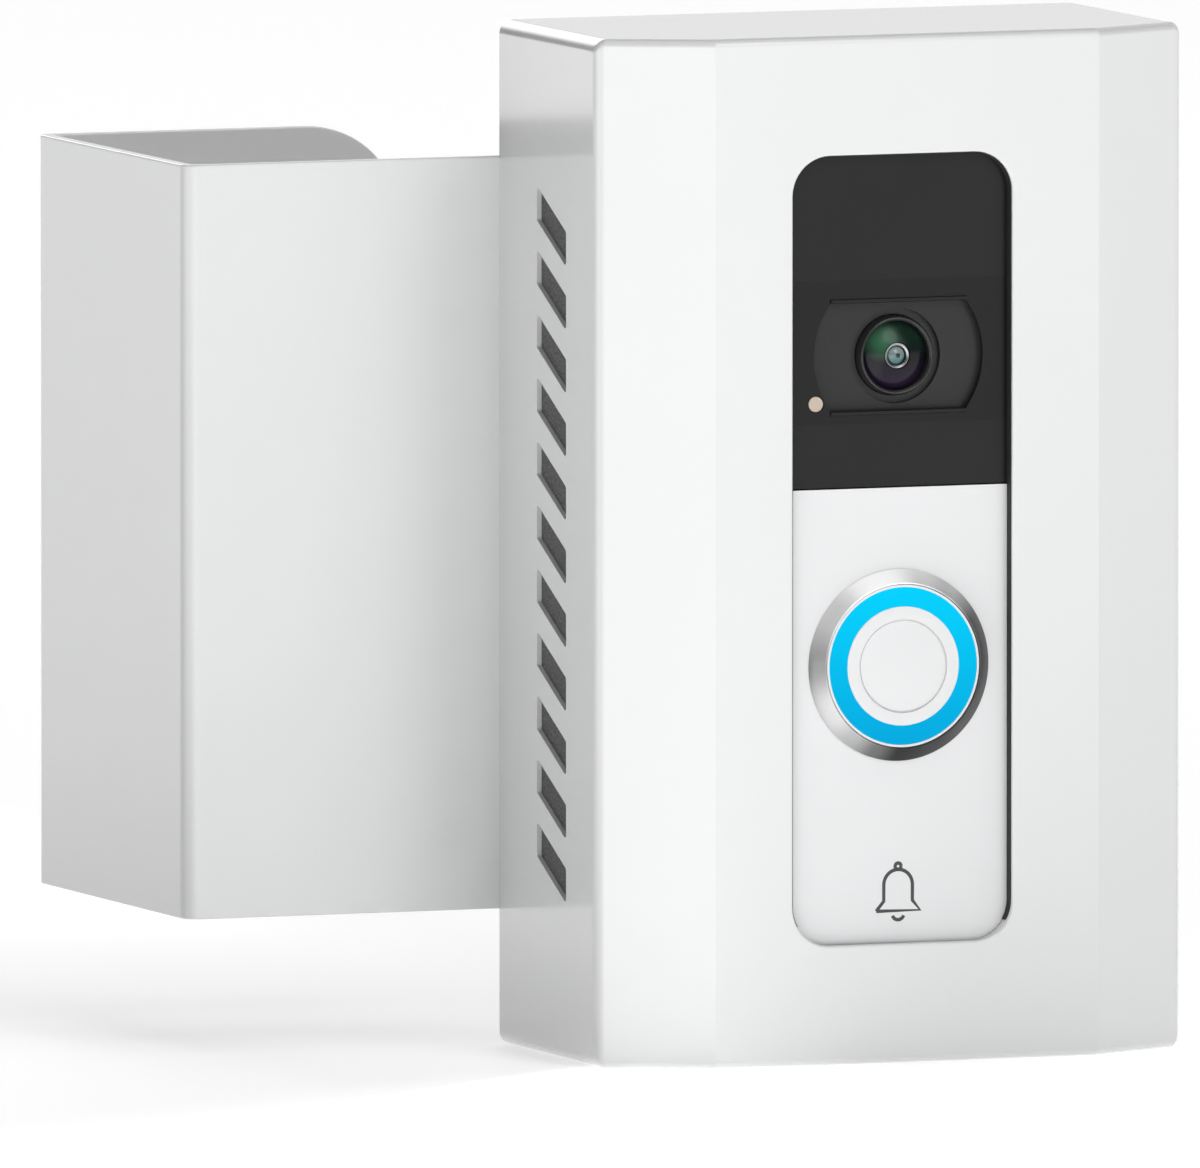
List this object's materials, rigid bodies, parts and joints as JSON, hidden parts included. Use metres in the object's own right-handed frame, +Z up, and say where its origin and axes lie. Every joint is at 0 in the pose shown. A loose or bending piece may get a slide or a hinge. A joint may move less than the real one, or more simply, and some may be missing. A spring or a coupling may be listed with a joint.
{
  "type": "video doorbell",
  "caption": "Video doorbell behind a white faceted anti-theft cover, on a steel bracket that clamps around the edge of a door.",
  "frame": {"origin": "on the outer face of the door, behind the middle of the cover, at mount door_face", "axes": "+X to the right as a visitor sees it, +Y into the door, +Z up; the camera and the button face -Y"},
  "size_m": [0.1517, 0.1566, 0.1624],
  "materials": {
    "white_coated_steel": "satin white powder coat on folded steel sheet",
    "white_cover_shell": "semi-gloss white",
    "white_faceplate_plastic": "fine matt white",
    "black_rubber": "matt black",
    "zinc_steel": "bright zinc plate",
    "brass_insert": "plain",
    "grey_panel_plastic": "moulded, fine texture",
    "black_case_plastic": "moulded, fine texture",
    "gloss_black_window": "smooth infrared-clear black",
    "acoustic_weave": "woven dark grey mesh",
    "brushed_bezel_metal": "turned and brushed",
    "black_anodised": "black anodised",
    "lens_glass": "coated optical glass",
    "blue_diffuser": "lit translucent blue",
    "circuit_board": "green solder mask",
    "chip_black": "moulded package",
    "led_lens": "clear resin",
    "warm_light_pipe": "pale warm resin",
    "battery_wrap": "shrink wrap",
    "antenna_foil": "printed foil"
  },
  "bodies": {
    "root": {"door_bracket": "white_coated_steel", "door_pad": "black_rubber", "arm_pad": "black_rubber", "weld_nuts": "zinc_steel", "back_panel": "grey_panel_plastic", "pedestal": "grey_panel_plastic", "cover": "white_cover_shell", "acoustic_mesh": "acoustic_weave", "cover_screws": "zinc_steel", "cover_inserts": "brass_insert", "panel_screws": "zinc_steel", "opening_seal": "black_rubber", "bell_bracket": "black_case_plastic", "bell_bracket_screws": "zinc_steel", "bell_rear_case": "black_case_plastic", "case_seal": "black_rubber", "bell_chassis": "black_case_plastic", "bell_front_window": "gloss_black_window", "bell_faceplate": "white_faceplate_plastic", "button_bezel": "brushed_bezel_metal", "button_gasket": "black_rubber", "button_board": "circuit_board", "tact_switch": "black_case_plastic", "ring_leds": "led_lens", "main_board": "circuit_board", "main_chips": "chip_black", "board_screws": "zinc_steel", "microphone": "chip_black", "battery_pack": "battery_wrap", "battery_contacts": "brass_insert", "antenna": "antenna_foil", "speaker": "black_case_plastic", "camera_shroud": "black_case_plastic", "lens_barrel": "black_case_plastic", "lens_ring": "black_anodised", "lens_front_glass": "lens_glass", "lens_inner_ring": "black_case_plastic", "lens_inner_element": "lens_glass", "camera_board": "circuit_board", "image_sensor": "chip_black", "light_sensor": "warm_light_pipe", "ir_leds": "led_lens", "security_screw": "zinc_steel", "terminal_screws": "zinc_steel"},
    "button": {"button_cap": "white_faceplate_plastic", "light_ring": "blue_diffuser", "tact_stem": "black_case_plastic"},
    "battery_release": {"battery_latch": "black_case_plastic"},
    "clamp": {"clamp_plate": "white_coated_steel", "clamp_pad": "black_rubber", "guide_pins": "zinc_steel"},
    "screw_upper": {"clamp_screw_upper": "zinc_steel", "screw_clip_upper": "zinc_steel", "knob_upper": "black_case_plastic"},
    "screw_lower": {"clamp_screw_lower": "zinc_steel", "screw_clip_lower": "zinc_steel", "knob_lower": "black_case_plastic"}
  },
  "joints": [
    {"name": "button_press", "type": "slide", "parent": "root", "child": "button", "axis": [0, 1, 0], "range_m": [0, 0.0007], "stiffness_N_per_m": 600, "springref_m": -0.002},
    {"name": "battery_latch_slide", "type": "slide", "parent": "root", "child": "battery_release", "axis": [0, 0, 1], "range_m": [0, 0.0015], "stiffness_N_per_m": 300, "springref_m": -0.002},
    {"name": "clamp_slide", "type": "slide", "parent": "root", "child": "clamp", "axis": [0, -1, 0], "range_m": [0, 0.022]},
    {"name": "screw_upper_turn", "type": "hinge", "parent": "clamp", "child": "screw_upper", "pos_m": [-0.0715, 0.0645, 0.024], "axis": [0, -1, 0], "range_deg": [0, 7920]},
    {"name": "screw_lower_turn", "type": "hinge", "parent": "clamp", "child": "screw_lower", "pos_m": [-0.0715, 0.0645, -0.024], "axis": [0, -1, 0], "range_deg": [0, 7920]}
  ],
  "couplings": [
    {"joint": "screw_upper_turn", "follows": "clamp_slide", "rad_per_m": 6283.1},
    {"joint": "screw_lower_turn", "follows": "clamp_slide", "rad_per_m": 6283.1}
  ]
}
